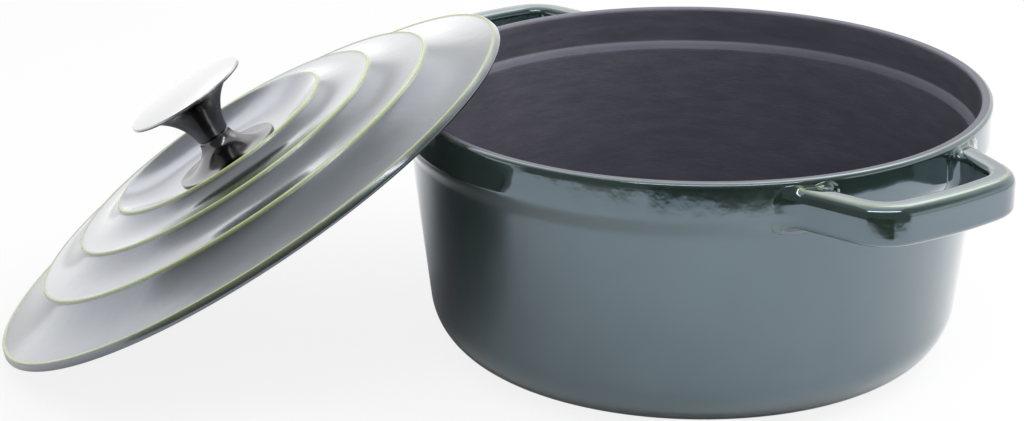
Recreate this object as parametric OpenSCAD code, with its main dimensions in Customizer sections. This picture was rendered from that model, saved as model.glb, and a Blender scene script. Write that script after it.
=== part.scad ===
// Enamelled cast iron dutch oven with its lid off and leaning on the rim.
// Units are millimetres. The origin is the centre of the pot's base, +Z is up,
// and the X axis runs through both handles. The pot and its two loop handles are
// one casting, the lid is another, and a two-piece steel knob is screwed to the lid.

/* [Pot] */
// Outer radius of the rim
rim_r = 130; // [115:1:145]
// Height from the base to the top of the rim
pot_h = 117.5; // [105:0.5:130]
// Thickness of the collar at the rim
rim_t = 5.3; // [4.6:0.1:6]
// Height of the thicker collar, seen from outside
collar_h = 22.5; // [21:0.5:26]
// How far the collar stands out from the wall below it
collar_step = 4.2; // [3:0.1:5]
// Depth of the ledge inside, below the rim
ledge_d = 15.8; // [12:0.1:18]
// Thickness of the wall below the collar
wall_t = 4.6; // [4:0.1:6]
// Thickness of the floor
floor_t = 5; // [4:0.1:8]
// Angle at which the wall leans out, in degrees
wall_draft = 7.2; // [4:0.1:8]
// Outer radius of the corner between wall and base
corner_r = 27; // [18:1:32]
// Rounding of the rim's outer edge
rim_round = 1.8; // [1:0.1:2.2]
// Rounding of the rim's inner edge
bore_round = 1.2; // [0.6:0.1:1.8]

/* [Handles] */
// Distance from the rim to the outermost face of a handle
handle_reach = 36.4; // [30:0.1:42]
// Thickness of the bar, seen from above
handle_bar = 11.8; // [9:0.1:13]
// Height of the bar
handle_h = 17.2; // [14:0.1:18.6]
// Drop from the rim to the top of the bar
handle_drop = 3.4; // [2:0.1:4]
// Overall width of a handle where its arms leave the collar
handle_w = 101; // [90:1:112]
// Angle at which the arms draw in, in degrees
handle_splay = 14; // [11:1:20]
// Radius of the bar's middle line at its two corners
handle_bend_r = 16; // [10:0.5:18]
// Radius of the bow of the outermost stretch, along the bar's middle line
handle_bow_r = 200; // [160:10:400]
// Rounding along three of the bar's edges
handle_round = 3.2; // [2:0.1:4.4]
// Rounding along the bar's upper outer edge, which lies in the palm
handle_brow = 5; // [3:0.1:5.4]

/* [Lid] */
// How far the lid stands out over the rim
lid_over = 1; // [0.4:0.1:2]
// Height of the lid's side face
lid_edge = 4.3; // [4:0.1:7]
// Thickness of the lid
lid_t = 4.4; // [4:0.1:6]
// Height that the dome would reach at the middle, above the outer ridge
dome_rise = 27.8; // [22:0.1:32]
// Radius of the innermost raised ring
ring_in_r = 52.3; // [46:0.1:58]
// Radius of the middle raised ring
ring_mid_r = 75.5; // [70:0.1:80]
// Radius of the outermost raised ring
ring_out_r = 100.2; // [94:0.1:106]
// Height of the step on the outside of each ring
ring_step = 1.5; // [0.8:0.1:2.2]
// How far the surface between two rings sags below a straight line
ring_sag = 1.7; // [0.5:0.1:2.5]
// Depth of the dish at the knob, below the innermost ring
dish_d = 8.4; // [5:0.1:9.5]
// Depth of the locating lip below the lid's seat
lip_h = 1.8; // [1.6:0.1:3]
// Width of the locating lip
lip_w = 6; // [4:0.1:8]
// Clearance between the locating lip and the collar
lip_gap = 1.6; // [0.6:0.1:2]
// Rounding of the lid's lower outer edge and of its lip
edge_round = 1.4; // [0.8:0.1:1.6]

/* [Knob] */
// Radius of the knob's top disc
knob_r = 27.7; // [24:0.1:32]
// Radius of the knob's waist
waist_r = 7.5; // [6.5:0.1:9]
// Radius of the knob's foot
foot_r = 24; // [20:0.1:26]
// Height of the foot piece
foot_h = 11.7; // [9:0.1:14]
// Height of the top piece
cap_h = 23.6; // [19:0.1:28]
// Thickness of the disc at its edge
disc_t = 1.4; // [1:0.1:2.4]
// Crown of the disc's top face
disc_crown = 0.8; // [0.2:0.1:1.4]
// Thickness of the foot at its edge
foot_edge = 0.9; // [0.6:0.1:1.6]
// Bevel on both sides of the seam at the waist
seam_bevel = 0.4; // [0.2:0.1:0.8]

/* [Fastening] */
// Radius of the screw's shank
screw_r = 3; // [2.5:0.1:3.5]
// Length of the screw that enters the knob's top piece
screw_grip = 11; // [8:0.5:15]
// Radius of the screw's head
head_r = 5.8; // [5:0.1:7]
// Height of the screw's head
head_h = 3.4; // [2.8:0.1:4.2]
// Radius of the flat washer
washer_r = 9; // [7.5:0.1:11]
// Thickness of the flat washer
washer_t = 1.2; // [0.8:0.1:1.8]
// Radius of the split lock washer
lock_r = 5.6; // [5:0.1:6.5]
// Thickness of the split lock washer
lock_t = 1.5; // [1:0.1:2]
// Clearance all round the shank in the knob and the washers
shank_gap = 0.2; // [0.1:0.05:0.4]
// Clearance all round the shank in the lid's hole
hole_gap = 0.6; // [0.3:0.1:1]

/* [Lid at rest] */
// Where the lid is: leaning on the rim as stored here, or on the pot
lid_place = "leaning"; // [leaning, on_pot]
// Lean of the lid from level, in degrees
lid_lean = 32; // [28:0.1:34]
// Direction in which the lid leans out, in degrees round from +X
lean_side = -127.6; // [-134:0.1:-118]
// Gap between the lid and the casting that carries it
rest_gap = 0.3; // [0.2:0.05:0.5]

/* [Hidden] */
$fn = 96;

// How far an arm of a handle runs into the collar, and how far a hole's cutter overshoots
arm_root = 13;
over = 1;

// Distance of the outer ridge from the lid's edge, width of a crest's bead and its rise
// above the surface inside it
ridge_in = 1.3;
bead_w = 0.9;
bead_rise = 0.3;
// A bead's section, from inside: shares of bead_w outwards and of ring_step upwards
BEAD = [[-0.4, -0.04], [0, 0], [0.35, -0.1], [0.6, -0.3]];
// How steeply the dish turns up, and how far out the stretches between rings sag most
dish_curve = 1.9;
sag_skew = 0.8;

// Bends of the knob's two flares: 2 is a quarter of an ellipse, less is flatter
cap_bend = 1.8;
foot_bend = 2;
// Angle of the drilled hole's point in the knob's top piece
drill_point = 118;

// Cross recess of the screw and slit of the lock washer
slot_w = 1.4;
slot_d = 1.6;
slot_len = 6.4;
slit_w = 0.6;
slit_twist = 25;

// Points along an arc about c, from angle a0 to a1
function arc(c, r, a0, a1, n = 10) =
    [for (i = [0:n]) c + r * [cos(a0 + (a1 - a0) * i / n), sin(a0 + (a1 - a0) * i / n)]];

// ---- pot ----
collar_z = pot_h - collar_h;
wall_r = rim_r - collar_step;
step_h = 1.2 * collar_step;
bore_r = rim_r - rim_t;
ledge_z = pot_h - ledge_d;
in_corner_r = corner_r - wall_t;

// Radius of the outer face of the wall at a height below the collar
function wall_at(z) = wall_r - (collar_z - z) * tan(wall_draft);

// Middle of a corner arc of radius r that touches the level z0 and a wall set in by t
function corner_x(r, z0, t) =
    wall_at(z0 + r) - t - r / cos(wall_draft);

// Height at which a 45 degree ledge meets the inner wall
ledge_foot_z = (ledge_z - bore_r + wall_at(0) - wall_t) / (1 - tan(wall_draft));

// The collar's lower edge: an ogee that rises by step_h while it comes out by collar_step
function ogee(n = 10) =
    [for (i = [1:n]) [wall_r + collar_step * (1 - cos(180 * i / n)) / 2, collar_z + step_h * i / n]];

function pot_outline() = concat(
    [[0, 0]],
    arc([corner_x(corner_r, 0, 0), corner_r], corner_r, -90, -wall_draft, 20),
    [[wall_r, collar_z]],
    ogee(),
    arc([rim_r - rim_round, pot_h - rim_round], rim_round, 0, 90, 6),
    [[0, pot_h]]);

function cavity_outline() = concat(
    [[0, floor_t]],
    arc([corner_x(in_corner_r, floor_t, wall_t), floor_t + in_corner_r], in_corner_r,
        -90, -wall_draft, 20),
    [[wall_at(ledge_foot_z) - wall_t, ledge_foot_z], [bore_r, ledge_z]],
    arc([bore_r + bore_round, pot_h - bore_round], bore_round, 180, 90, 6),
    [[bore_r + bore_round, pot_h + 1], [0, pot_h + 1]]);

// ---- handles ----
// Seen from above, a handle's middle line is an arm that draws in, a bend, the bowed
// front and the same again mirrored. The bend touches both the arm and the bow.
front_x = rim_r + handle_reach - handle_bar / 2;
bow = [front_x - handle_bow_r, 0];
arm_dir = [cos(handle_splay), -sin(handle_splay)];
arm_in = [-sin(handle_splay), -cos(handle_splay)];
arm_y = handle_w / 2 - handle_bar / 2 / cos(handle_splay);
arm_start = [sqrt(rim_r * rim_r - arm_y * arm_y), arm_y];
bend_off = arm_start + handle_bend_r * arm_in - bow;
bend_along = bend_off * arm_dir;
arm_len = -bend_along + sqrt(bend_along * bend_along
    - bend_off * bend_off + pow(handle_bow_r - handle_bend_r, 2));
bend = arm_start + arm_len * arm_dir + handle_bend_r * arm_in;
bow_half = atan2(bend[1] - bow[1], bend[0] - bow[0]);
handle_z = pot_h - handle_drop - handle_h;

// The bar's rounded section, grown by lap on every side. The arms and the bow stand out
// from the bends by lap and reach as far into them, so that the bar is one solid.
bar_lap = 0.05;
lap_turn = bar_lap / handle_bow_r * 180 / PI;

module box(x0, x1, y0, y1) {
    translate([x0, y0]) square([x1 - x0, y1 - y0]);
}

module bar_section(lap = 0) {
    w = handle_bar / 2 + lap;
    h = handle_h / 2 + lap;
    r = handle_round;
    b = handle_brow;
    box(r - w, w - b, -h, h);
    box(w - b, w - r, -h, h - b);
    box(-w, w - b, r - h, h - r);
    box(w - b, w, r - h, h - b);
    for (c = [[r - w, h - r], [r - w, r - h], [w - r, r - h]]) translate(c) circle(r);
    translate([w - b, h - b]) circle(b);
}

module handle_arm() {
    translate(arm_start - arm_root * arm_dir) rotate([0, 0, -handle_splay])
        rotate([90, 0, 90]) linear_extrude(arm_root + arm_len + bar_lap) bar_section(bar_lap);
    translate(bend) rotate([0, 0, bow_half])
        rotate_extrude(angle = 90 - handle_splay - bow_half)
            translate([handle_bend_r, 0]) bar_section();
}

module handle() {
    translate([0, 0, handle_z + handle_h / 2]) {
        handle_arm();
        mirror([0, 1, 0]) handle_arm();
        translate(bow) rotate([0, 0, -bow_half - lap_turn])
            rotate_extrude(angle = 2 * (bow_half + lap_turn))
                translate([handle_bow_r, 0]) bar_section(bar_lap);
    }
}

module pot() {
    color("darkslategray") difference() {
        union() {
            rotate_extrude() polygon(pot_outline());
            for (turn = [0, 180]) rotate([0, 0, turn]) handle();
        }
        rotate_extrude() polygon(cavity_outline());
    }
}

// ---- lid, drawn with its seat on the level z = 0 ----
lid_r = rim_r + lid_over;
ridge_r = lid_r - ridge_in;
lip_r = bore_r - lip_gap;

// Height of a ring's crest on the dome
function crest_z(r) = lid_edge + dome_rise * (1 - pow(r / ridge_r, 2));

knob_z = crest_z(ring_in_r) - dish_d;
pad_r = foot_r + 1;

// The dish: level at the knob's pad, then rising ever steeper to the innermost crest
function dish(n = 12) = [for (i = [0:n])
    [pad_r + (ring_in_r - bead_w - pad_r) * i / n,
     knob_z + (dish_d - bead_rise) * pow(i / n, dish_curve)]];

function bead(r, z) = [for (p = BEAD) [r + bead_w * p[0], z + ring_step * p[1]]];

// The sagging stretch between two crests: from the foot of the inner one's step, out to
// the bead of the outer one
function stretch(r0, r1, n = 12) = let (r = r1 - r0 - 2 * bead_w,
        z0 = crest_z(r0) - ring_step, z1 = crest_z(r1) - bead_rise)
    [for (i = [0:n]) [r0 + bead_w + r * i / n,
        z0 + (z1 - z0) * i / n - ring_sag * sin(180 * pow(i / n, sag_skew))]];

function terrace(r0, r1) = concat(bead(r0, crest_z(r0)), stretch(r0, r1));

// The underside: lid_t below the dish and below the sagging stretches of the dome
function ease(t) = t * t * (3 - 2 * t);
function under_z(r) = r < ring_in_r
    ? knob_z - lid_t + (crest_z(ring_in_r) - ring_step - knob_z)
        * ease(max(0, (r - pad_r) / (ring_in_r - pad_r)))
    : crest_z(r) - ring_step - lid_t - ring_sag * (r - ring_in_r) / (lip_r - lip_w - ring_in_r);

function under(n = 24) = let (r0 = lip_r - lip_w, r1 = pad_r)
    [for (i = [0:n]) let (r = r0 + (r1 - r0) * i / n) [r, under_z(r)]];

function lid_outline() = concat(
    [[0, knob_z]],
    dish(),
    terrace(ring_in_r, ring_mid_r),
    terrace(ring_mid_r, ring_out_r),
    terrace(ring_out_r, ridge_r),
    bead(ridge_r, lid_edge),
    arc([lid_r - edge_round, edge_round], edge_round, 20, -90, 8),
    [[lip_r, 0]],
    arc([lip_r - edge_round, edge_round - lip_h], edge_round, 0, -90, 6),
    arc([lip_r - lip_w + edge_round, edge_round - lip_h], edge_round, -90, -180, 6),
    under(),
    [[0, knob_z - lid_t]]);

// ---- where the lid rests ----
// The lid stands on its lower edge, on the level of the pot's base
lean_z = edge_round + max((lid_r - edge_round) * sin(lid_lean) - edge_round * cos(lid_lean),
    (lip_r - edge_round) * sin(lid_lean) + (lip_h - edge_round) * cos(lid_lean));

// Points along the rounded edges that may carry the lid, each with its edge's radius:
// the rim's two edges and the upper outer edge of the handle on the -X side
function ring_points(r, z, e) = [for (a = [lean_side - 70:2:lean_side + 70])
    [r * cos(a), r * sin(a), z, e]];
brow_at = handle_bar / 2 - handle_brow;
brow_z = handle_z + handle_h - handle_brow;
brow_line = concat(
    [for (i = [0:6]) arm_start + arm_len * i / 6 * arm_dir - brow_at * arm_in],
    [for (i = [0:12]) let (a = bow_half + (90 - handle_splay - bow_half) * (1 - i / 12))
        bend + (handle_bend_r + brow_at) * [cos(a), sin(a)]],
    [for (i = [0:4]) let (a = bow_half * (1 - i / 4))
        bow + (handle_bow_r + brow_at) * [cos(a), sin(a)]]);
carriers = concat(
    ring_points(rim_r - rim_round, pot_h - rim_round, rim_round),
    ring_points(bore_r + bore_round, pot_h - bore_round, bore_round),
    [for (p = brow_line) [-p[0], -p[1], brow_z, handle_brow]],
    [for (p = brow_line) [-p[0], p[1], brow_z, handle_brow]]);

// Distance in section from (r, z) to a wall from radius q0 to q1 that ends below at p
function to_wall(r, z, q0, q1, p) = let (
        dr = max(r - q1, q0 - r) + edge_round, dz = p + edge_round - z)
    norm([max(dr, 0), max(dz, 0)]) + min(max(dr, dz), 0) - edge_round;

// Distance in section from (r, z) to the lid's edge, its lip and its underside
function to_lid(r, z) = let (q = lip_r - lip_w) min(
    to_wall(r, z, q, lid_r, 0),
    to_wall(r, z, q, lip_r, -lip_h),
    r < q ? (under_z(r) - z) * cos(lid_lean) : lid_r);

// Gap between a carrier and the lid, when the lid's middle is s out
function carrier_gap(c, s) = let (
        x = c[0] * cos(lean_side) + c[1] * sin(lean_side) - s,
        y = c[1] * cos(lean_side) - c[0] * sin(lean_side),
        z = c[2] - lean_z,
        r = norm([x * cos(lid_lean) - z * sin(lid_lean), y]),
        h = x * sin(lid_lean) + z * cos(lid_lean))
    to_lid(r, h) - c[3];

function lid_gap(s) = min([for (c = carriers) carrier_gap(c, s)]);

// Halves the stretch from lo to hi until the lid is rest_gap from what carries it
function settle(lo, hi, n = 24) = n == 0 ? hi
    : lid_gap((lo + hi) / 2) < rest_gap ? settle((lo + hi) / 2, hi, n - 1)
    : settle(lo, (lo + hi) / 2, n - 1);

lean_x = settle(rim_r, rim_r + lid_r);

module with_lid() {
    if (lid_place == "leaning")
        rotate([0, 0, lean_side]) translate([lean_x, 0, lean_z]) rotate([0, lid_lean, 0])
            children();
    else
        translate([0, 0, pot_h]) children();
}

module lid() {
    color("darkseagreen") with_lid() difference() {
        rotate_extrude() polygon(lid_outline());
        translate([0, 0, knob_z - lid_t - over]) cylinder(r = screw_r + hole_gap, h = lid_t + 2 * over);
    }
}

// ---- knob ----
seam_z = knob_z + foot_h;
top_z = seam_z + cap_h;
hole_r = screw_r + shank_gap;

// The quarter of a superellipse from (r0, 0) to (r1, h), which starts along the axis
function flare(r0, r1, h, bend, n = 16) = [for (i = [0:n])
    [r1 - (r1 - r0) * pow(cos(90 * i / n), 2 / bend), h * pow(sin(90 * i / n), 2 / bend)]];

function reversed(list) = [for (i = [len(list) - 1:-1:0]) list[i]];

function foot_outline() = let (side = flare(waist_r, foot_r, foot_h - foot_edge, foot_bend)) concat(
    [[hole_r, 0], [foot_r, 0], [foot_r, foot_edge]],
    [for (p = reversed([for (i = [1:len(side) - 2]) side[i]])) [p[0], foot_h - p[1]]],
    [[waist_r, foot_h - seam_bevel], [waist_r - seam_bevel, foot_h], [hole_r, foot_h]]);

function cap_outline() = let (side = flare(waist_r, knob_r, cap_h - disc_t - disc_crown, cap_bend))
    concat([[0, 0], [waist_r - seam_bevel, 0], [waist_r, seam_bevel]],
    [for (i = [2:len(side) - 1]) side[i]],
    arc([knob_r - disc_t / 2, cap_h - disc_crown - disc_t / 2], disc_t / 2, -60, 90, 6),
    [for (i = [1:8]) [(knob_r - disc_t / 2) * (1 - i / 8),
        cap_h - disc_crown * pow(1 - i / 8, 2)]]);

module knob_foot() {
    color("silver") with_lid() translate([0, 0, knob_z]) rotate_extrude() polygon(foot_outline());
}

module knob_top() {
    color("gainsboro") with_lid() translate([0, 0, seam_z]) difference() {
        rotate_extrude() polygon(cap_outline());
        translate([0, 0, -over]) cylinder(r = hole_r, h = screw_grip + 2 * over);
        translate([0, 0, screw_grip + over]) cylinder(r1 = hole_r, r2 = 0, h = hole_r / tan(drill_point / 2));
    }
}

// ---- screw and washers, under the lid ----
washer_z = knob_z - lid_t - washer_t;
lock_z = washer_z - lock_t;

module screw_washer() {
    color("silver") with_lid() translate([0, 0, washer_z]) difference() {
        cylinder(r = washer_r, h = washer_t);
        translate([0, 0, -over]) cylinder(r = hole_r, h = washer_t + 2 * over);
    }
}

module lock_washer() {
    color("gray") with_lid() translate([0, 0, lock_z]) difference() {
        cylinder(r = lock_r, h = lock_t);
        translate([0, 0, -over]) cylinder(r = hole_r, h = lock_t + 2 * over);
        rotate([slit_twist, 0, 0]) translate([0, -slit_w / 2, -lock_t])
            cube([lock_r + over, slit_w, 4 * lock_t]);
    }
}

module knob_screw() {
    color("silver") with_lid() translate([0, 0, lock_z]) difference() {
        union() {
            rotate_extrude() polygon(concat([[0, 0]],
                arc([head_r - head_h / 2, -head_h / 2], head_h / 2, 90, -90, 9),
                [[0, -head_h]]));
            translate([0, 0, -over]) cylinder(r = screw_r, h = over + seam_z - lock_z + screw_grip);
        }
        for (turn = [0, 90]) rotate([0, 0, turn])
            translate([-slot_len / 2, -slot_w / 2, -head_h - over])
                cube([slot_len, slot_w, slot_d + over]);
    }
}

pot();
lid();
knob_foot();
knob_top();
screw_washer();
lock_washer();
knob_screw();
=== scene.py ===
"""Dutch oven: an enamelled iron pot with two loop handles, its ringed lid leaning against
the shoulder of one of them, and the lid's two-piece steel knob. Lengths are metres, +Z is up,
and the X axis runs through both handles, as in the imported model."""

import bpy
import numpy as np
from bpy.props import FloatProperty, FloatVectorProperty, IntProperty, PointerProperty
from mathutils import Matrix, Vector


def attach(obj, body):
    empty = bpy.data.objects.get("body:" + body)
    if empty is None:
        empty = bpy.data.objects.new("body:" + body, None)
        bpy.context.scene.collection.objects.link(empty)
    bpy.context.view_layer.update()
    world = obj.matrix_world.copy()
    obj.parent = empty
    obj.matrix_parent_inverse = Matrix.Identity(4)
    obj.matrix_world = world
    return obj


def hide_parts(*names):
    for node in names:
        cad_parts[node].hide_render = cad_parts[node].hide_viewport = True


bl_info = {
    "name": "Dutch Oven",
    "version": (1, 0, 0),
    "blender": (4, 5, 0),
    "location": "View3D > Sidebar > Dutch Oven",
    "description": "Enamelled iron pot, ringed lid and steel knob on the packed model",
    "category": "Add Mesh",
}

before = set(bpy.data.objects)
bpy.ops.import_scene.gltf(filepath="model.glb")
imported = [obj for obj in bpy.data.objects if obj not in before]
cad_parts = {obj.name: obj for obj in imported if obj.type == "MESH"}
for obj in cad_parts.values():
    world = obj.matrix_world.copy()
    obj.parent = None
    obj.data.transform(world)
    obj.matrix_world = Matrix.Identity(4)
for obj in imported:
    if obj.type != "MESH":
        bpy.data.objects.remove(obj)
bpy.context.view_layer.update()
MM = 0.001

# Where the camera stands, its turn, dip and roll in degrees, and its lens in millimetres
CAMERA = (1.0503, -0.9058, 0.5540)
CAMERA_TURN, CAMERA_DIP, CAMERA_ROLL = 52.559, 19.637, 0.109
LENS, SENSOR = 116.0, 36.0

# Spacing of points on a handle's middle line, and how far its blend into the collar runs
LINE_STEP = 0.0004
BLEND_RUN = 0.022

# Radius of the flat pad under the knob, the outer ridge's distance from the lid's edge,
# and the width and rise of the bead on a ring
PAD_R = 0.025
RIDGE_IN = 1.3 * MM
BEAD_W = 0.9 * MM
BEAD_RISE = 0.3 * MM


def length(name, text, value):
    return FloatProperty(name=name, description=text, default=value, min=0.0,
                         subtype="DISTANCE", unit="LENGTH", precision=5)


def angle(name, text, degrees):
    return FloatProperty(name=name, description=text, default=float(np.radians(degrees)),
                         subtype="ANGLE", unit="ROTATION")


def colour(name, text, value):
    return FloatVectorProperty(name=name, description=text, default=value, size=3,
                               min=0.0, max=1.0, subtype="COLOR")


# ---------------------------------------------------------------- sizes and colours

class PotSizes(bpy.types.PropertyGroup):
    rim_r: length("Rim radius", "Outer radius of the rim", 0.130)
    height: length("Height", "From the base to the top of the rim", 0.1175)
    rim_t: length("Rim thickness", "Thickness of the collar at the rim", 0.0053)
    collar_h: length("Collar height", "Height of the thicker collar outside", 0.0225)
    collar_step: length("Collar step", "How far the collar stands out", 0.0042)
    ledge_d: length("Ledge depth", "Depth of the ledge below the rim", 0.0158)
    wall_t: length("Wall thickness", "Thickness below the collar", 0.0046)
    floor_t: length("Floor thickness", "Thickness of the floor", 0.005)
    draft: angle("Draft", "Angle at which the wall leans out", 7.2)
    corner_r: length("Corner radius", "Between the wall and the base", 0.027)
    rim_round: length("Rim rounding", "Rounding of the rim's outer edge", 0.0018)
    bore_round: length("Bore rounding", "Rounding of the rim's inner edge", 0.0012)


class HandleSizes(bpy.types.PropertyGroup):
    reach: length("Reach", "From the rim to the outermost face", 0.0364)
    bar: length("Bar thickness", "Thickness seen from above", 0.0118)
    height: length("Bar height", "Height of the bar", 0.0172)
    drop: length("Drop", "From the rim to the top of the bar", 0.0034)
    width: length("Width", "Overall width at the collar", 0.101)
    splay: angle("Splay", "Angle at which the arms draw in", 14.0)
    bend_r: length("Bend radius", "Of the middle line at the corners", 0.016)
    bow_r: length("Bow radius", "Of the middle line at the front", 0.200)
    edge_r: length("Edge rounding", "Rounding along three of the bar's edges", 0.0032)
    brow_r: length("Brow rounding", "Rounding along the upper outer edge", 0.005)
    side_fillet: length("Side fillet", "Where an arm's sides flow into the collar", 0.0075)
    top_fillet: length("Top fillet", "Where the top flows into the collar", 0.0011)
    foot_fillet: length("Foot fillet", "Where the underside flows into the collar", 0.004)


class LidSizes(bpy.types.PropertyGroup):
    radius: length("Radius", "Outer radius of the lid", 0.131)
    edge_h: length("Edge height", "Height of the side face", 0.0043)
    thickness: length("Thickness", "Thickness of the lid", 0.0044)
    dome: length("Dome", "Height of the dome above the outer ridge", 0.0278)
    ring_in: length("Inner ring", "Radius of the innermost ring", 0.0523)
    ring_mid: length("Middle ring", "Radius of the middle ring", 0.0755)
    ring_out: length("Outer ring", "Radius of the outermost ring", 0.1002)
    step: length("Ring step", "Step down on the outside of each ring", 0.0015)
    sag: length("Sag", "Sag of the surface between two rings", 0.0017)
    dish: length("Dish", "Depth of the dish below the innermost ring", 0.0084)
    lip_h: length("Lip height", "Depth of the locating lip", 0.0018)
    lip_w: length("Lip width", "Width of the locating lip", 0.006)
    lip_gap: length("Lip gap", "Clearance of the lip in the collar", 0.0016)
    round: length("Rounding", "Rounding of the lower edge and the lip", 0.0014)
    lean: angle("Lean", "Lean of the lid from level", 32.0)
    side: angle("Side", "Direction of the lean, round from +X", -127.6)
    out: length("Out", "Middle of the lid's seat, out from the pot's axis", 0.196488)
    up: length("Up", "Height of the middle of the lid's seat", 0.0688903)


class KnobSizes(bpy.types.PropertyGroup):
    disc_r: length("Disc radius", "Radius of the knob's top", 0.0277)
    waist_r: length("Waist radius", "Radius of the waist", 0.0075)
    foot_r: length("Foot radius", "Radius of the foot", 0.024)
    foot_h: length("Foot height", "Height of the foot piece", 0.0117)
    cap_h: length("Cap height", "Height of the top piece", 0.0236)
    disc_t: length("Disc edge", "Thickness of the disc at its edge", 0.0014)
    crown: length("Crown", "Crown of the disc's top face", 0.0008)
    foot_edge: length("Foot edge", "Thickness of the foot at its edge", 0.0009)
    seam: length("Seam bevel", "Bevel on both sides of the seam", 0.0004)


class Finishes(bpy.types.PropertyGroup):
    green: colour("Green", "The enamel where it lies thick", (0.016, 0.028, 0.019))
    thin: colour("Thin green", "The enamel where it thins over an edge", (0.58, 0.66, 0.24))
    black: colour("Black", "The matt enamel inside", (0.083, 0.080, 0.101))
    # Rim: the black enamel painted paler, as painted light, on the rim's top and the ledge; it is
    # the same enamel as inside
    rim: colour("Rim", "The matt enamel on the rim and the ledge", (0.130, 0.125, 0.150))
    steel: colour("Steel", "Polished stainless steel", (0.42, 0.42, 0.43))
    plain_steel: colour("Plain steel", "Screw and washers", (0.42, 0.42, 0.43))
    floor: colour("Floor", "The table", (0.90, 0.90, 0.91))


class OvenSettings(bpy.types.PropertyGroup):
    pot: PointerProperty(type=PotSizes)
    handle: PointerProperty(type=HandleSizes)
    lid: PointerProperty(type=LidSizes)
    knob: PointerProperty(type=KnobSizes)
    finish: PointerProperty(type=Finishes)
    turns: IntProperty(name="Turns", description="Faces round a turned piece",
                       default=384, min=48, max=768)


# ---------------------------------------------------------------- surfaces

def bell(x, width):
    """1 where x is 0, falling away on both sides as exp(-(x / width)^2)."""
    return np.exp(-(x / width) ** 2)


def arc_points(centre, radius, start, end, rows=10):
    """Points on a circle: centre + radius * (cos t, sin t), t from start to end."""
    t = np.radians(np.linspace(start, end, rows + 1))
    return np.stack([centre[0] + radius * np.cos(t), centre[1] + radius * np.sin(t)], 1)


def even_rows(points, gap):
    """The same line with a point at least every gap: each stretch is cut into equal parts."""
    points = np.asarray(points, float)
    steps = np.linalg.norm(np.diff(points, axis=0), axis=1)
    points = points[np.r_[True, steps > 1e-7]]
    steps = np.linalg.norm(np.diff(points, axis=0), axis=1)
    walk = np.r_[0, np.cumsum(steps)]
    parts = np.maximum(1, np.ceil(steps / gap)).astype(int)
    marks = np.concatenate([walk[i] + steps[i] * np.arange(n) / n for i, n in enumerate(parts)]
                           + [walk[-1:]])
    return np.stack([np.interp(marks, walk, points[:, k]) for k in (0, 1)], 1)


def eased(points, reach, gap=0.00025):
    """The line resampled every gap and averaged over a window of reach, so kinks turn soft."""
    points = even_rows(points, gap)
    walk = np.r_[0, np.cumsum(np.linalg.norm(np.diff(points, axis=0), axis=1))]
    marks = np.linspace(0, walk[-1], int(walk[-1] / gap) + 2)
    line = np.stack([np.interp(marks, walk, points[:, k]) for k in (0, 1)], 1)
    half = max(1, int(reach / gap / 2))
    tail = np.pad(line, ((half, half), (0, 0)), mode="reflect", reflect_type="odd")
    window = np.hanning(2 * half + 3)[1:-1]
    window /= window.sum()
    return np.stack([np.convolve(tail[:, k], window, "valid") for k in (0, 1)], 1)


def thinned(points, bow=0.00001, longest=0.004):
    """Keeps a point each time the line has bent away from the last kept one by bow, or has
    run on for longest, and keeps both ends."""
    turn = np.r_[0, np.abs(np.diff(np.unwrap(np.arctan2(*np.diff(points, axis=0).T[::-1])))), 0]
    step = np.r_[0, np.linalg.norm(np.diff(points, axis=0), axis=1)]
    cost = np.cumsum(np.sqrt(turn * step / (8 * bow)) + step / longest)
    keep = np.unique(np.searchsorted(cost, np.arange(0, cost[-1], 1.0)))
    return points[np.union1d(keep, len(points) - 1)]


def mesh_piece(name, points, faces, wells=(), slots=None):
    """An object from vertices, faces and per-vertex numbers, smooth shaded."""
    mesh = bpy.data.meshes.new(name)
    mesh.from_pydata(points.reshape(-1, 3).tolist(), [], faces)
    for label, values in wells:
        layer = mesh.attributes.new(label, "FLOAT", "POINT")
        layer.data.foreach_set("value", np.asarray(values, np.float32).ravel())
    mesh.polygons.foreach_set("use_smooth", np.ones(len(mesh.polygons), bool))
    if slots is not None:
        mesh.polygons.foreach_set("material_index", np.asarray(slots, np.int32))
    mesh.update()
    piece = bpy.data.objects.new(name, mesh)
    bpy.context.collection.objects.link(piece)
    return piece


def ring_quads(rows, around):
    """Quads between neighbouring rows of a grid whose rows close up into rings."""
    i, j = np.meshgrid(np.arange(rows - 1), np.arange(around), indexing="ij")
    k = (j + 1) % around
    quads = np.stack([i * around + j, i * around + k,
                      (i + 1) * around + k, (i + 1) * around + j], 2)
    return quads.reshape(-1, 4).tolist()


def turned(name, profile, count, wells=(), row_slots=None):
    """A profile (r, z) turned about Z: point (r cos t, r sin t, z) on a grid of row and t.

    The first and last rows lie on the axis and become one point each. The profile runs
    outwards below and inwards above, so the faces point outwards."""
    rows = profile[1:-1]
    t = 2 * np.pi * np.arange(count) / count
    grid = np.stack([rows[:, :1] * np.cos(t), rows[:, :1] * np.sin(t),
                     np.repeat(rows[:, 1:], count, 1)], 2)
    points = np.concatenate([grid.reshape(-1, 3), [[0, 0, profile[0, 1]], [0, 0, profile[-1, 1]]]])
    first, last = len(rows) * count, len(rows) * count + 1
    a = np.arange(count)
    b = (a + 1) % count
    top = (len(rows) - 1) * count
    faces = (np.stack([b, a, np.full(count, first)], 1).tolist()
             + ring_quads(len(rows), count)
             + np.stack([top + a, top + b, np.full(count, last)], 1).tolist())
    spread = [(label, np.r_[np.repeat(v[1:-1], count), v[0], v[-1]]) for label, v in wells]
    slots = None if row_slots is None else np.repeat(row_slots, count)
    return mesh_piece(name, points, faces, spread, slots)


def swept(name, grid, wells=()):
    """A closed section carried along a path: grid[i, j] is point j of the section at stop i."""
    stops, around = grid.shape[:2]
    ends = [np.arange(around)[::-1].tolist(), (np.arange(around) + (stops - 1) * around).tolist()]
    return mesh_piece(name, grid, ring_quads(stops, around) + ends, wells)


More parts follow.
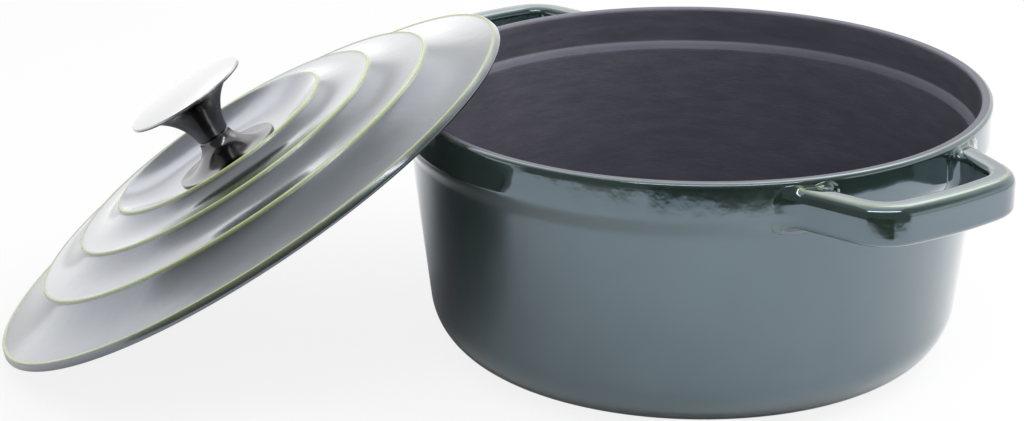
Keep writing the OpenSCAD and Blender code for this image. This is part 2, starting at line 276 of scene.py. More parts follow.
# ---------------------------------------------------------------- shader maths

class Wire:
    """One output of a node tree. Sums, differences and products of wires add Math nodes."""

    def __init__(self, tree, socket):
        self.tree, self.socket = tree, socket

    def _math(self, operation, *values):
        node = self.tree.nodes.new("ShaderNodeMath")
        node.operation = operation
        for slot, value in zip(node.inputs, values):
            plug(self.tree, slot, value)
        return Wire(self.tree, node.outputs[0])

    def __add__(self, other): return self._math("ADD", self, other)
    def __radd__(self, other): return self._math("ADD", other, self)
    def __sub__(self, other): return self._math("SUBTRACT", self, other)
    def __rsub__(self, other): return self._math("SUBTRACT", other, self)
    def __mul__(self, other): return self._math("MULTIPLY", self, other)
    def __rmul__(self, other): return self._math("MULTIPLY", other, self)
    def least(self, other): return self._math("MINIMUM", self, other)

    def ramp(self, start, end):
        """0 before start, 1 after end, smooth between; start may be above end."""
        node = self.tree.nodes.new("ShaderNodeMapRange")
        node.interpolation_type = "SMOOTHSTEP"
        low, high = (start, end) if start < end else (end, start)
        for label, value in (("Value", self), ("From Min", low), ("From Max", high),
                             ("To Min", float(start > end)), ("To Max", float(start < end))):
            plug(self.tree, node.inputs[label], value)
        return Wire(self.tree, node.outputs[0])


def plug(tree, slot, value):
    """Links a wire to a socket, or sets the socket to a number, vector or colour."""
    if isinstance(value, Wire):
        tree.links.new(value.socket, slot)
    elif slot.type == "RGBA" and len(value) == 3:
        slot.default_value = (*value, 1.0)
    else:
        slot.default_value = value


class Paint:
    """A material's node tree, made by expressions."""

    def __init__(self, name):
        self.material = bpy.data.materials.new(name)
        self.material.use_nodes = True
        self.tree = self.material.node_tree
        self.tree.nodes.clear()
        self.place = self.node("ShaderNodeTexCoord", out="Object")

    def node(self, kind, out=0, settings=(), **inputs):
        """Adds a node, makes its settings, then plugs its inputs. An input goes by its name,
        with _ for each space, or by i and its number."""
        node = self.tree.nodes.new(kind)
        for label, value in dict(settings).items():
            setattr(node, label, value)
        for label, value in inputs.items():
            numbered = label[0] == "i" and label[1:].isdigit()
            key = int(label[1:]) if numbered else label.replace("_", " ")
            plug(self.tree, node.inputs[key], value)
        return Wire(self.tree, node.outputs[out])

    def well(self, name):
        """A number that the mesh holds for each of its points."""
        return self.node("ShaderNodeAttribute", out="Fac", settings={"attribute_name": name})

    def noise(self, size, detail, rough, stretch=None):
        """Soft noise from 0 to 1 whose blobs are about size metres across."""
        where = self.place
        if stretch:
            where = self.node("ShaderNodeMapping", Vector=where, Scale=stretch)
        return self.node("ShaderNodeTexNoise", out="Fac", Vector=where, Scale=1.0 / size,
                         Detail=detail, Roughness=rough)

    def blend(self, factor, first, second):
        """The first colour where factor is 0 and the second where it is 1."""
        return self.node("ShaderNodeMix", out=2, settings={"data_type": "RGBA"},
                         i0=factor, i6=first, i7=second)

    def bump(self, height, depth, under=None):
        """A normal bent by height times depth metres."""
        more = {"Normal": under} if under else {}
        return self.node("ShaderNodeBump", Height=height, Distance=depth, Strength=1.0, **more)

    def finish(self, **inputs):
        """Ends the tree in a Principled shader with these inputs."""
        return self.show(self.node("ShaderNodeBsdfPrincipled", **inputs))

    def show(self, surface):
        """Makes surface the material's surface."""
        out = self.tree.nodes.new("ShaderNodeOutputMaterial")
        self.tree.links.new(surface.socket, out.inputs["Surface"])
        return self.material


def green_enamel(name, looks, tint, haze):
    """Glossy glass over iron: dark green, yellow green where the well 'thin' is 1. Its
    reflections take the tint when seen square on and blur with the haze."""
    paint = Paint(name)
    thin = paint.well("thin")
    cloud = paint.noise(0.030, 3.0, 0.55)
    fine = paint.noise(0.0016, 2.0, 0.5)
    thick = paint.blend(cloud.ramp(0.35, 0.75), [c * 0.8 for c in looks.green],
                        [c * 1.35 for c in looks.green])
    base = paint.blend((thin * (0.8 + 0.4 * fine)).least(1.0), thick, looks.thin)
    waves = paint.noise(0.022, 2.0, 0.45)
    ripples = paint.noise(0.006, 2.0, 0.5)
    bent = paint.bump(waves, 0.00035)
    bent = paint.bump(ripples, 0.00006, bent)
    bent = paint.bump(fine, 0.000003, bent)
    return paint.finish(Base_Color=base, Roughness=0.06 + haze + 0.04 * cloud + 0.3 * thin,
                        IOR=2.3, Specular_Tint=tint, Coat_Weight=1.0 - 0.8 * thin,
                        Coat_Roughness=haze, Coat_IOR=1.5, Normal=bent)


def black_enamel(name, looks):
    """Matt glass with a fine tooth: charcoal, with painted light on the rim's top and the ledge,
    where a well of the mesh blends in the paler rim colour.
    """
    paint = Paint(name)
    painted_light = paint.well("painted_light")
    cloud = paint.noise(0.020, 6.0, 0.72, stretch=(1.0, 1.0, 5.0))
    tooth = paint.noise(0.0035, 3.0, 0.65, stretch=(1.0, 1.0, 6.0))
    dark = paint.blend(cloud.ramp(0.3, 0.8), [c * 0.85 for c in looks.black],
                       [c * 1.25 for c in looks.black])
    # Painted light: the paler rim colour goes where the well marks the rim's top and the ledge
    base = paint.blend(painted_light, dark, looks.rim)
    bent = paint.bump(tooth, 0.00012)
    return paint.finish(Base_Color=base, Roughness=0.42 + 0.12 * cloud, IOR=1.7,
                        Specular_Tint=(0.75, 0.82, 1.0, 1.0), Normal=bent)


def steel(name, base, roughness, painted_shade=1.0):
    """Stainless steel with a faint haze. Where the well 'waist' is 1, its colour is multiplied by
    the last argument. This is painted shade: it darkens the knob's stem and foot in place of the
    darker reflections they would show."""
    paint = Paint(name)
    haze = paint.noise(0.012, 3.0, 0.5)
    tone = paint.blend(haze, [c * 0.94 for c in base], base)
    # Painted shade: the steel colour is darkened where the well 'waist' marks the knob's stem and
    # foot
    tone = paint.blend(paint.well("waist"), tone, [c * painted_shade for c in base])
    return paint.finish(Base_Color=tone, Metallic=1.0, Roughness=roughness + 0.04 * haze)


# ---------------------------------------------------------------- the pot

def wall_radius(pot, z):
    """The wall's outer face: a straight line that leans out by the draft up to the collar."""
    top = pot.height - pot.collar_h
    return pot.rim_r - pot.collar_step - (top - z) * np.tan(pot.draft)


def collar_radius(pot, z):
    """The pot's outer face near the top: the wall, then an ogee out to the rim's radius."""
    low = pot.height - pot.collar_h
    t = np.clip((z - low) / (2.4 * pot.collar_step) + 0.25, 0, 1)
    return (wall_radius(pot, np.minimum(z, low))
            + pot.collar_step * (1 - np.cos(np.pi * t)) / 2)


def pot_profile(pot):
    """Base, corner arc, leaning wall, ogee, collar and rim outside; the same inwards inside."""
    lean = np.degrees(pot.draft)
    low = pot.height - pot.collar_h
    outer_r, inner_r = pot.corner_r, pot.corner_r - pot.wall_t
    corner = wall_radius(pot, outer_r) - outer_r / np.cos(pot.draft)
    hollow = wall_radius(pot, pot.floor_t + inner_r) - pot.wall_t - inner_r / np.cos(pot.draft)
    bore = pot.rim_r - pot.rim_t
    ledge = pot.height - pot.ledge_d
    slope = np.tan(pot.draft)
    foot = (ledge - bore + wall_radius(pot, 0) - pot.wall_t) / (1 - slope)
    z = low + np.linspace(-0.6, 1.8, 24) * pot.collar_step
    outside = np.concatenate([
        [[0, 0]], arc_points((corner, outer_r), outer_r, -90, -lean, 24),
        np.stack([collar_radius(pot, z), z], 1),
        arc_points((pot.rim_r - pot.rim_round, pot.height - pot.rim_round), pot.rim_round, 0, 90)])
    inside = np.concatenate([
        arc_points((bore + pot.bore_round, pot.height - pot.bore_round), pot.bore_round, 90, 180),
        [[bore, ledge], [wall_radius(pot, foot) - pot.wall_t, foot]],
        arc_points((hollow, pot.floor_t + inner_r), inner_r, -lean, -90, 24),
        [[0, pot.floor_t]]])
    return eased(outside, 0.0012), eased(inside, 0.0012)


def make_pot(settings):
    """The turned casting. The well 'thin' marks the rim's outer edge. The second well marks
    painted light: the rim's top and the ledge are painted paler, with painted highlights along the
    ledge's two edges."""
    pot = settings.pot
    outside, inside = pot_profile(pot)
    outside, inside = thinned(outside), thinned(inside)
    profile = np.concatenate([outside, inside])
    profile[[0, -1], 0] = 0
    r, z = profile.T
    out = np.arange(len(profile)) < len(outside)
    edge = 0.1 * bell(r - pot.rim_r + 0.0011, 0.0004) * (z > pot.height - 0.002) * out
    ledge = pot.height - pot.ledge_d
    # Painted light: the rim's top and the top of the bore's rounding are painted paler
    painted_light = np.where(out, 0, 0.6 * np.clip((z - pot.height + 0.0012) / 0.0006, 0, 1))
    width = pot.rim_t - pot.wall_t
    # Painted light: the ledge's sloping face is painted paler, with painted highlights along its
    # upper and lower edges
    lit = (0.6 * (np.abs(z - ledge + width / 2) < width / 2)
           + 0.4 * bell(z - ledge, 0.0006) + 0.6 * bell(z - ledge + width, 0.0009))
    painted_light = np.maximum(painted_light, np.where(out, 0, lit))
    rows = np.r_[np.zeros(len(outside) - 1), np.ones(len(inside))]
    piece = turned("pot_casting", profile, settings.turns, [("thin", edge), ("painted_light", painted_light)], rows)
    piece.data.materials.append(
        green_enamel("glossy_green", settings.finish, tint=(0.60, 0.81, 1.0), haze=0.01))
    piece.data.materials.append(black_enamel("matt_black", settings.finish))
    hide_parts("pot")
    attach(piece, "pot_body")


# ---------------------------------------------------------------- the handles

def handle_line(pot, handle, step):
    """The bar's middle line from above, with a point every step: arm, bend, bow, bend, arm.

    Its heading is constant along an arm and turns steadily round a bend and along the bow;
    it is averaged over 9 mm so that the curvature has no jumps, then summed up again. Half
    of the line is made so, with a spare stretch past the middle, and then mirrored."""
    front = pot.rim_r + handle.reach - handle.bar / 2
    bow = np.array([front - handle.bow_r, 0])
    along = np.array([np.cos(handle.splay), -np.sin(handle.splay)])
    inward = np.array([-np.sin(handle.splay), -np.cos(handle.splay)])
    side = handle.width / 2 - handle.bar / 2 / np.cos(handle.splay)
    start = np.array([np.sqrt(pot.rim_r ** 2 - side ** 2), side])
    off = start + handle.bend_r * inward - bow
    reach = handle.bow_r - handle.bend_r
    run = -off @ along + np.sqrt((off @ along) ** 2 - off @ off + reach ** 2)
    centre = start + run * along + handle.bend_r * inward
    half = np.arctan2(centre[1] - bow[1], centre[0] - bow[0])
    root, spare = 0.016, 0.02
    lengths = np.array([root + run, (np.pi / 2 - handle.splay - half) * handle.bend_r,
                        half * handle.bow_r])
    walk = np.r_[0, np.cumsum(lengths)]
    headings = [-handle.splay, -handle.splay, -(np.pi / 2 - half), -np.pi / 2]
    s = np.arange(0, walk[-1] + spare, step)
    mirror = np.where(s > walk[-1], 2 * walk[-1] - s, s)
    heading = np.interp(mirror, walk, headings)
    heading = np.where(s > walk[-1], -np.pi - heading, heading)
    half_window = int(0.0045 / step)
    window = np.hanning(2 * half_window + 1)
    window /= window.sum()
    heading = np.convolve(np.pad(heading, half_window, mode="edge"), window, "valid")
    s = s[s <= walk[-1]]
    heading = heading[:len(s)]
    points = np.cumsum(np.stack([np.cos(heading), np.sin(heading)], 1) * step, axis=0)
    points += [front - points[-1, 0], -points[-1, 1]]
    points = np.concatenate([points, points[-2::-1] * [1, -1]])
    heading = np.r_[heading, -np.pi - heading[-2::-1]]
    return points, heading


def bar_section(handle, count=80):
    """A rounded rectangle: four quarter circles joined by straight sides. The first one, on
    the upper outer edge, has a radius of its own. Points crowd together on the circles."""
    w, h = handle.bar / 2, handle.height / 2
    ring = np.concatenate([
        arc_points((x * (w - e), z * (h - e)), e, a, a + 90, 12)
        for x, z, a, e in ((1, 1, 0, handle.brow_r), (-1, 1, 90, handle.edge_r),
                           (-1, -1, 180, handle.edge_r), (1, -1, 270, handle.edge_r))])
    ring = np.concatenate([ring, ring[:1]])
    run = np.linalg.norm(np.diff(ring, axis=0), axis=1)
    turn = np.tile(np.r_[np.ones(12), 0.0], 4)
    cost = np.r_[0, np.cumsum(run / 0.0016 + turn * 0.9)]
    marks = np.linspace(0, cost[-1], count + 1)[:-1]
    return np.stack([np.interp(marks, cost, ring[:, k]) for k in (0, 1)], 1)


def handle_grid(settings):
    """The bar's section carried along its line, and the section's normal (nx, nz).

    A point of the section starts where its track leaves the collar. Within the fillet's
    radius of that place it slides along its normal, over the collar, by
    fillet - sqrt(fillet^2 - (fillet - go)^2), where go is how far along it is."""
    pot, handle = settings.pot, settings.handle
    line, heading = handle_line(pot, handle, LINE_STEP)
    middle = pot.height - handle.drop - handle.height / 2
    ring = bar_section(handle)
    walk = np.arange(len(line)) * LINE_STEP
    lift = middle + ring[:, 1]
    nx = np.gradient(np.r_[ring[-1:, 1], ring[:, 1], ring[:1, 1]])[1:-1]
    nz = -np.gradient(np.r_[ring[-1:, 0], ring[:, 0], ring[:1, 0]])[1:-1]
    size = np.hypot(nx, nz)
    nx, nz = nx / size, nz / size
    fillet = (handle.side_fillet * nx ** 2
              + np.where(nz > 0, handle.top_fillet, handle.foot_fillet) * nz ** 2)
    across = np.stack([-np.sin(heading), np.cos(heading)], 1)
    track = line[:, None, :] + across[:, None, :] * ring[None, :, :1]
    beyond = np.hypot(track[..., 0], track[..., 1]) - collar_radius(pot, lift)[None, :]
    half = len(line) // 2
    orders = [np.argsort(column) for column in beyond[:half].T]
    meet = np.array([np.interp(0, column[order], walk[order])
                     for column, order in zip(beyond[:half].T, orders)])
    sunk = 0.0015
    inner = np.linspace(0, 1, 26) ** 1.6 * BLEND_RUN
    stops = np.array([np.r_[start - sunk, start + inner,
                            np.linspace(start + BLEND_RUN, walk[half], 70)[1:]]
                      for start in meet]).T
    x, y = (np.stack([np.interp(stops[:, j], walk, track[:, j, axis])
                      for j in range(len(ring))], 1) for axis in (0, 1))
    z = np.repeat(lift[None, :], len(stops), 0)
    go = np.maximum(stops - meet[None, :], 0)
    slide = fillet - np.sqrt(np.maximum(0, fillet ** 2 - np.maximum(fillet - go, 0) ** 2))
    radius = np.hypot(x, y)
    rho = np.minimum(radius - collar_radius(pot, z), 0.05)
    around = np.arctan2(y, x)
    new_z = z + slide * nz
    new_around = around + slide * nx / pot.rim_r
    new_r = collar_radius(pot, new_z) + rho
    near = slide > 0
    x = np.where(near, new_r * np.cos(new_around), x)
    y = np.where(near, new_r * np.sin(new_around), y)
    z = np.where(near, new_z, z)
    grid = np.stack([x, y, z], 2)
    return np.concatenate([grid, grid[-2::-1] * [1, -1, 1]]), nx, nz


def make_handles(settings):
    """Both loops, one turned half round. The well 'thin' marks the two upper edges of the
    bar, by the tilt of the face in degrees up from outwards."""
    grid, nx, nz = handle_grid(settings)
    tilt = np.degrees(np.arctan2(nz, nx))
    line = 0.33 * bell(tilt - 70, 10) + 0.22 * bell(tilt - 112, 10)
    thin = np.broadcast_to(line[None, :], grid.shape[:2])
    paint = bpy.data.materials["glossy_green"]
    for name, turn in (("handle_front", 1), ("handle_back", -1)):
        piece = swept(name, grid * [turn, turn, 1], [("thin", thin)])
        piece.data.materials.append(paint)
        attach(piece, "pot_body")


# ---------------------------------------------------------------- the lid

def lid_place(lid):
    """Lean about Y, move out and up, then turn to the side that it leans to."""
    return (Matrix.Rotation(lid.side, 4, "Z") @ Matrix.Translation((lid.out, 0, lid.up))
            @ Matrix.Rotation(lid.lean, 4, "Y"))


def put_on_lid(piece, lid):
    """Moves the mesh itself, so that the object stays at the origin."""
    piece.data.transform(lid_place(lid))


def crest_height(lid, r):
    """Crests lie on a parabola: edge height plus dome times (1 - (r / ridge)^2)."""
    return lid.edge_h + lid.dome * (1 - (r / (lid.radius - RIDGE_IN)) ** 2)


def pad_height(lid):
    """Height of the flat pad under the knob: the dish's depth below the innermost ring."""
    return crest_height(lid, lid.ring_in) - lid.dish


def lid_top(lid):
    """From the knob's pad outwards: a dish, then for each ring a rounded bead, a step down
    and a stretch that sags by a sine, up to the outer ridge."""
    pad_z = pad_height(lid)
    t = np.linspace(0, 1, 30)
    parts = [[[0, pad_z]], np.stack([PAD_R + (lid.ring_in - BEAD_W - PAD_R) * t,
                                     pad_z + (lid.dish - BEAD_RISE) * t ** 1.9], 1)]
    rings = [lid.ring_in, lid.ring_mid, lid.ring_out, lid.radius - RIDGE_IN]
    for r0, r1 in zip(rings[:-1], rings[1:]):
        z0, z1 = crest_height(lid, r0), crest_height(lid, r1)
        a, b = r0 + BEAD_W, r1 - BEAD_W
        parts += [[[r0 - 0.35 * MM, z0 - 0.06 * MM], [r0, z0], [r0 + 0.3 * MM, z0 - 0.15 * MM],
                   [r0 + 0.55 * MM, z0 - 0.45 * MM]],
                  np.stack([a + (b - a) * t,
                            z0 - lid.step + (z1 - BEAD_RISE - z0 + lid.step) * t
                            - lid.sag * np.sin(np.pi * t ** 0.8)], 1)]
    ridge = rings[-1]
    parts += [[[ridge - 0.35 * MM, lid.edge_h - 0.06 * MM], [ridge, lid.edge_h],
               [ridge + 0.45 * MM, lid.edge_h - 0.3 * MM]],
              arc_points((lid.radius - lid.round, lid.round), lid.round, 20, -90)]
    return np.concatenate([np.asarray(p, float) for p in parts])


def lid_under(lid, pot):
    """From the seat inwards: the locating lip, then a face the lid's thickness below the
    top, which rises to the middle by the smooth step 3 t^2 - 2 t^3."""
    lip = pot.rim_r - pot.rim_t - lid.lip_gap
    e = lid.round
    pad_z = pad_height(lid)
    r = np.linspace(lip - lid.lip_w, PAD_R, 40)
    t = np.clip((r - PAD_R) / (lid.ring_in - PAD_R), 0, 1)
    rise = crest_height(lid, lid.ring_in) - lid.step - pad_z
    inner = pad_z - lid.thickness + rise * t ** 2 * (3 - 2 * t)
    outer = (crest_height(lid, r) - lid.step - lid.thickness
             - lid.sag * (r - lid.ring_in) / (lip - lid.lip_w - lid.ring_in))
    return np.concatenate([
        [[lip, 0]], arc_points((lip - e, e - lid.lip_h), e, 0, -90),
        arc_points((lip - lid.lip_w + e, e - lid.lip_h), e, -90, -180),
        np.stack([r, np.where(r < lid.ring_in, inner, outer)], 1), [[0, pad_z - lid.thickness]]])


def make_lid(settings):
    """The turned casting, set leaning. The well 'thin' marks the rings and, just inside it, the
    outer ridge. The painted-light well is 0, as the lid's matt side gets no painted light."""
    lid, pot = settings.lid, settings.pot
    top = thinned(eased(lid_top(lid), 0.0008, 0.0001), 0.000006)[::-1]
    under = thinned(eased(lid_under(lid, pot), 0.0010), 0.00002)[::-1]
    profile = np.concatenate([under, top])
    profile[[0, -1], 0] = 0
    r, z = profile.T
    below = np.arange(len(profile)) < len(under)
    rings = np.array([lid.ring_in, lid.ring_mid, lid.ring_out,
                      lid.radius - RIDGE_IN - 0.4 * MM])
    near = bell(r[:, None] - rings[None, :], 0.0007).max(1)
    thin = np.where(below, 0, near * (z > lid.edge_h - 0.001))
    rows = np.r_[np.ones(len(under)), np.zeros(len(top) - 1)]
    piece = turned("lid_casting", profile, settings.turns,
                   [("thin", thin), ("painted_light", np.zeros(len(r)))], rows)
    put_on_lid(piece, lid)
    piece.data.materials.append(
        green_enamel("glossy_green_lid", settings.finish, tint=(0.74, 0.80, 1.0), haze=0.13))
    piece.data.materials.append(bpy.data.materials["matt_black"])
    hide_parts("lid")
    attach(piece, "lid_body")


# ---------------------------------------------------------------- the knob

def flared(r0, r1, h, bend, rows=40):
    """A quarter superellipse from (r0, 0) to (r1, h): it starts upright and ends level."""
    t = np.linspace(0, np.pi / 2, rows)
    return np.stack([r1 - (r1 - r0) * np.cos(t) ** (2 / bend), h * np.sin(t) ** (2 / bend)], 1)


def make_knob(settings):
    """The foot and the top, each turned from its flare, one on the other on the lid's pad.
    The well 'waist', which places painted shade on the steel, is 1 on the foot and 0.75 on the top
    below its disc."""
    lid, knob = settings.lid, settings.knob
    pad_z = pad_height(lid)
    side = flared(knob.waist_r, knob.foot_r, knob.foot_h - knob.foot_edge, 2.0)[::-1]
    foot = np.concatenate([
        [[0, 0], [knob.foot_r, 0], [knob.foot_r, knob.foot_edge]],
        np.stack([side[1:-1, 0], knob.foot_h - side[1:-1, 1]], 1),
        [[knob.waist_r, knob.foot_h - knob.seam], [knob.waist_r - knob.seam, knob.foot_h],
         [0, knob.foot_h]]])
    rise = flared(knob.waist_r, knob.disc_r, knob.cap_h - knob.disc_t - knob.crown, 1.8)
    edge = knob.disc_t / 2
    t = np.linspace(0, 1, 20)[1:]
    cap = np.concatenate([
        [[0, 0], [knob.waist_r - knob.seam, 0], [knob.waist_r, knob.seam]], rise[2:],
        arc_points((knob.disc_r - edge, knob.cap_h - knob.crown - edge), edge, -60, 90),
        np.stack([(knob.disc_r - edge) * (1 - t), knob.cap_h - knob.crown * (1 - t) ** 2], 1)])
    # The stem and the foot get painted shade: their steel colour times 0.31
    polish = steel("polished_steel", settings.finish.steel, roughness=0.15, painted_shade=0.31)
    for name, profile, lift, node in (("knob_foot_turned", foot, pad_z, "knob_foot"),
                                      ("knob_top_turned", cap, pad_z + knob.foot_h, "knob_top")):
        line = thinned(eased(profile, 0.0004, 0.00005), 0.000004, 0.002)
        line[[0, -1], 0] = 0
        # The 'waist' well places the painted shade: all of the foot, and the top below its disc
        waist = np.ones(len(line))
        if node == "knob_top":
            rim = knob.cap_h - knob.crown - edge
            waist = 0.75 * np.clip((rim - line[:, 1]) / MM, 0, 1)
        line[:, 1] += lift
        piece = turned(name, line, settings.turns // 2, [("waist", waist)])
        put_on_lid(piece, lid)
        piece.data.materials.append(polish)
        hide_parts(node)
        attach(piece, "lid_body")


def make_fasteners(settings):
    """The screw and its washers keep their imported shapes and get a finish."""
    plain = steel("plain_steel", settings.finish.plain_steel, roughness=0.28)
    for node in ("screw_washer", "lock_washer", "knob_screw"):
        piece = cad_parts[node]
        for slot in piece.material_slots:
            slot.material = plain


# ---------------------------------------------------------------- the stage

def from_camera(azimuth):
    """The direction round the pot, in radians, that many degrees anticlockwise of the camera."""
    return np.radians(azimuth) + np.arctan2(CAMERA[1], CAMERA[0])


def soft_lamp(name, azimuth, elevation, away, size, level, shiny=True):
    """A rectangular lamp that faces the pot. Its level is its brightness, where 1 is white;
    one that isn't shiny makes no highlight."""
    lamp = bpy.data.lights.new(name, "AREA")
    lamp.shape = "RECTANGLE"
    lamp.size, lamp.size_y = size
    lamp.energy = level * np.pi * size[0] * size[1]
    holder = bpy.data.objects.new(name, lamp)
    t, up = from_camera(azimuth), np.radians(elevation)
    holder.location = Vector((np.cos(up) * np.cos(t), np.cos(up) * np.sin(t), np.sin(up))) * away
    holder.rotation_euler = (-holder.location).to_track_quat("-Z", "Y").to_euler()
    holder.visible_camera = False
    holder.visible_glossy = shiny
    bpy.context.collection.objects.link(holder)


def screen(name, radius, across, height, level, soft=0.3, middle=(0, 0)):
    """A curved card round the pot or another middle, seen in reflections only, like the dark
    cloths and bright walls of a studio. Point (u, v) is (radius cos t, radius sin t, z) from the
    middle, where t runs across and z up the height as u and v run from -1 to 1. The card fades
    away over the outer share, soft, of each side that isn't on the table."""
    columns, rows = 48, 24
    u, v = np.meshgrid(np.linspace(-1, 1, columns + 1), np.linspace(-1, 1, rows + 1))
    t = from_camera((across[0] + across[1]) / 2 + (across[1] - across[0]) / 2 * u)
    z = (height[0] + height[1]) / 2 + (height[1] - height[0]) / 2 * v
    foot = np.clip((1 + v) / soft, height[0] <= 0, 1)
    head = np.clip((1 - v) / soft, 0, 1)
    whole = np.clip((1 - abs(u)) / soft, 0, 1) * np.where(v < 0, foot, head)
    i, j = np.meshgrid(np.arange(rows), np.arange(columns), indexing="ij")
    corner = i * (columns + 1) + j
    above = corner + columns + 1
    faces = np.stack([corner + 1, corner, above, above + 1], 2).reshape(-1, 4)
    points = np.stack([middle[0] + radius * np.cos(t), middle[1] + radius * np.sin(t), z], 2)
    card = mesh_piece(name, points, faces.tolist(), [("whole", whole)])
    paint = Paint(name)
    clear = paint.node("ShaderNodeBsdfTransparent", Color=(1, 1, 1))
    glow = paint.node("ShaderNodeEmission", Color=(1, 1, 1), Strength=level)
    card.data.materials.append(paint.show(
        paint.node("ShaderNodeMixShader", i0=paint.well("whole").ramp(0.0, 1.0),
                   i1=clear, i2=glow)))
    for way in ("camera", "diffuse", "shadow", "transmission"):
        setattr(card, "visible_" + way, False)


def make_world(scene):
    """A white room that is dimmer where it only lights the part than where it is seen."""
    world = bpy.data.worlds.new("studio")
    world.use_nodes = True
    scene.world = world
    tree = world.node_tree
    tree.nodes.clear()
    path = tree.nodes.new("ShaderNodeLightPath")
    seen = (Wire(tree, path.outputs["Is Camera Ray"]) + Wire(tree, path.outputs["Is Glossy Ray"])
            + Wire(tree, path.outputs["Is Transmission Ray"])).least(1.0)
    sky = tree.nodes.new("ShaderNodeBackground")
    plug(tree, sky.inputs["Color"], (1, 1, 1))
    plug(tree, sky.inputs["Strength"], 0.45 + 0.55 * seen)
    out = tree.nodes.new("ShaderNodeOutputWorld")
    tree.links.new(sky.outputs[0], out.inputs[0])


def make_floor(settings):
    """A white table just below the part. To the camera it glows a little, so that it runs
    into the white room and keeps the soft shadow."""
    side, drop, glowing = 4, 0.0005, 0.86
    corners = [(-side, -side, 0), (side, -side, 0), (side, side, 0), (-side, side, 0)]
    mesh = bpy.data.meshes.new("floor")
    mesh.from_pydata(corners, [], [(0, 1, 2, 3)])
    floor = bpy.data.objects.new("floor", mesh)
    bpy.context.collection.objects.link(floor)
    floor.location.z = -drop
    paint = Paint("table")
    path = paint.tree.nodes.new("ShaderNodeLightPath")
    seen = Wire(paint.tree, path.outputs["Is Camera Ray"])
    matt = paint.node("ShaderNodeBsdfDiffuse", Color=settings.finish.floor)
    glow = paint.node("ShaderNodeEmission", Color=(1, 1, 1), Strength=1.0)
    mesh.materials.append(paint.show(
        paint.node("ShaderNodeMixShader", i0=seen * glowing, i1=matt, i2=glow)))


def make_lights(settings):
    """Lamps, cards in front of the camera's side and behind the pot, and one card that is
    centred on the lid's dish."""
    soft_lamp("lamp_right", 152, 52, 1.7, (0.8, 0.6), 1.5)
    soft_lamp("lamp_above", 10, 60, 0.95, (0.8, 0.055), 13.0)
    soft_lamp("lamp_fill", 98, 44, 1.8, (1.6, 1.3), 4.1, shiny=False)
    soft_lamp("lamp_front", -25, 55, 1.8, (1.5, 1.2), 1.0, shiny=False)
    screen("cloth_front", 0.46, (-62, 52), (0.0, 0.45), 0.14, 0.08)
    screen("cloth_fold", 0.39, (-15, 28), (0.012, 0.10), 0.03, 0.14)
    screen("cloth_round", 1.1, (-118, 115), (0.33, 2.4), 0.24, 0.3)
    screen("wall_behind", 0.62, (165, 300), (0.0, 0.30), 1.5, 0.5)
    screen("glow_behind", 1.6, (140, 216), (0.6, 2.3), 1.65, 0.4)
    screen("gap_behind", 1.8, (202, 275), (0.45, 3.4), 0.72, 0.5)
    dish = lid_place(settings.lid) @ Vector((0, 0, settings.lid.edge_h))
    screen("glow_lid", 0.2, (199, 234), (dish.z + 0.069, dish.z + 0.135), 2.5, 0.5, dish)


def make_camera(scene):
    camera = bpy.data.cameras.new("camera")
    camera.lens, camera.sensor_width = LENS, SENSOR
    holder = bpy.data.objects.new("camera", camera)
    bpy.context.collection.objects.link(holder)
    holder.matrix_world = (Matrix.Translation(CAMERA)
                           @ Matrix.Rotation(np.radians(CAMERA_TURN), 4, "Z")
                           @ Matrix.Rotation(np.radians(90 - CAMERA_DIP), 4, "X")
                           @ Matrix.Rotation(np.radians(CAMERA_ROLL), 4, "Z"))
    scene.camera = holder


def make_stage(settings):
    scene = bpy.context.scene
    scene.view_settings.view_transform = "Standard"
    make_world(scene)
    make_floor(settings)
    make_lights(settings)
    make_camera(scene)


# ---------------------------------------------------------------- operators and panel

class OVEN_OT_pot(bpy.types.Operator):
    """Make the pot's casting"""
    bl_idname = "oven.pot"
    bl_label = "Pot"

    def execute(self, context):
        make_pot(context.scene.oven)
        return {"FINISHED"}


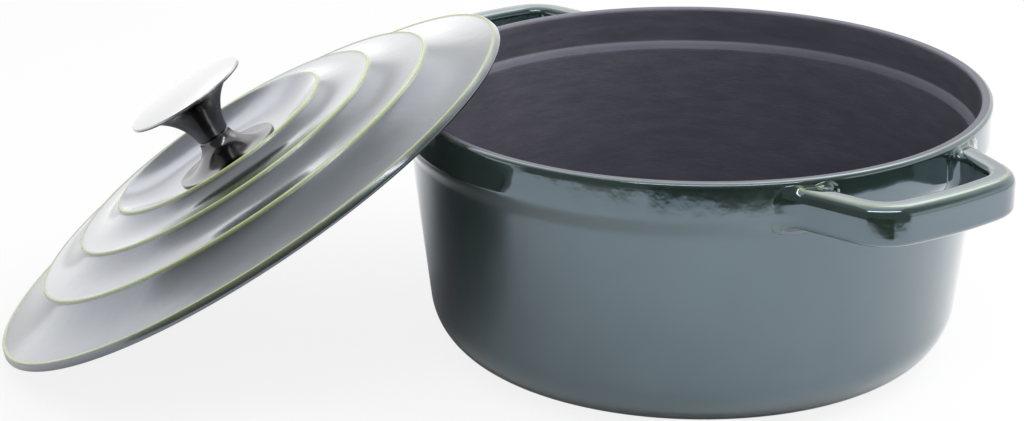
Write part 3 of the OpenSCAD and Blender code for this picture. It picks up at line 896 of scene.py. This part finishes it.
class OVEN_OT_handles(bpy.types.Operator):
    """Make the two loop handles"""
    bl_idname = "oven.handles"
    bl_label = "Handles"

    def execute(self, context):
        make_handles(context.scene.oven)
        return {"FINISHED"}


class OVEN_OT_lid(bpy.types.Operator):
    """Make the lid's casting"""
    bl_idname = "oven.lid"
    bl_label = "Lid"

    def execute(self, context):
        make_lid(context.scene.oven)
        return {"FINISHED"}


class OVEN_OT_knob(bpy.types.Operator):
    """Make both halves of the knob and finish its screw and washers"""
    bl_idname = "oven.knob"
    bl_label = "Knob"

    def execute(self, context):
        make_knob(context.scene.oven)
        make_fasteners(context.scene.oven)
        return {"FINISHED"}


class OVEN_OT_stage(bpy.types.Operator):
    """Make the floor, the light and the camera"""
    bl_idname = "oven.stage"
    bl_label = "Stage"

    def execute(self, context):
        make_stage(context.scene.oven)
        return {"FINISHED"}


class OVEN_PT_panel(bpy.types.Panel):
    bl_idname = "OVEN_PT_panel"
    bl_label = "Dutch Oven"
    bl_space_type = "VIEW_3D"
    bl_region_type = "UI"
    bl_category = "Dutch Oven"

    def draw(self, context):
        settings = context.scene.oven
        for group in (settings.pot, settings.handle, settings.lid, settings.knob, settings.finish):
            box = self.layout.box()
            for name in group.bl_rna.properties.keys():
                if name not in ("rna_type", "name"):
                    box.prop(group, name)
        self.layout.prop(settings, "turns")
        for operator in OPERATORS:
            self.layout.operator(operator.bl_idname)


OPERATORS = (OVEN_OT_pot, OVEN_OT_handles, OVEN_OT_lid, OVEN_OT_knob, OVEN_OT_stage)
CLASSES = (PotSizes, HandleSizes, LidSizes, KnobSizes, Finishes, OvenSettings,
           *OPERATORS, OVEN_PT_panel)


def register():
    for cls in CLASSES:
        bpy.utils.register_class(cls)
    bpy.types.Scene.oven = PointerProperty(type=OvenSettings)


def unregister():
    del bpy.types.Scene.oven
    for cls in reversed(CLASSES):
        bpy.utils.unregister_class(cls)


def main():
    register()
    bpy.ops.oven.pot()
    bpy.ops.oven.handles()
    bpy.ops.oven.lid()
    bpy.ops.oven.knob()
    bpy.ops.oven.stage()


if __name__ == "__main__":
    main()
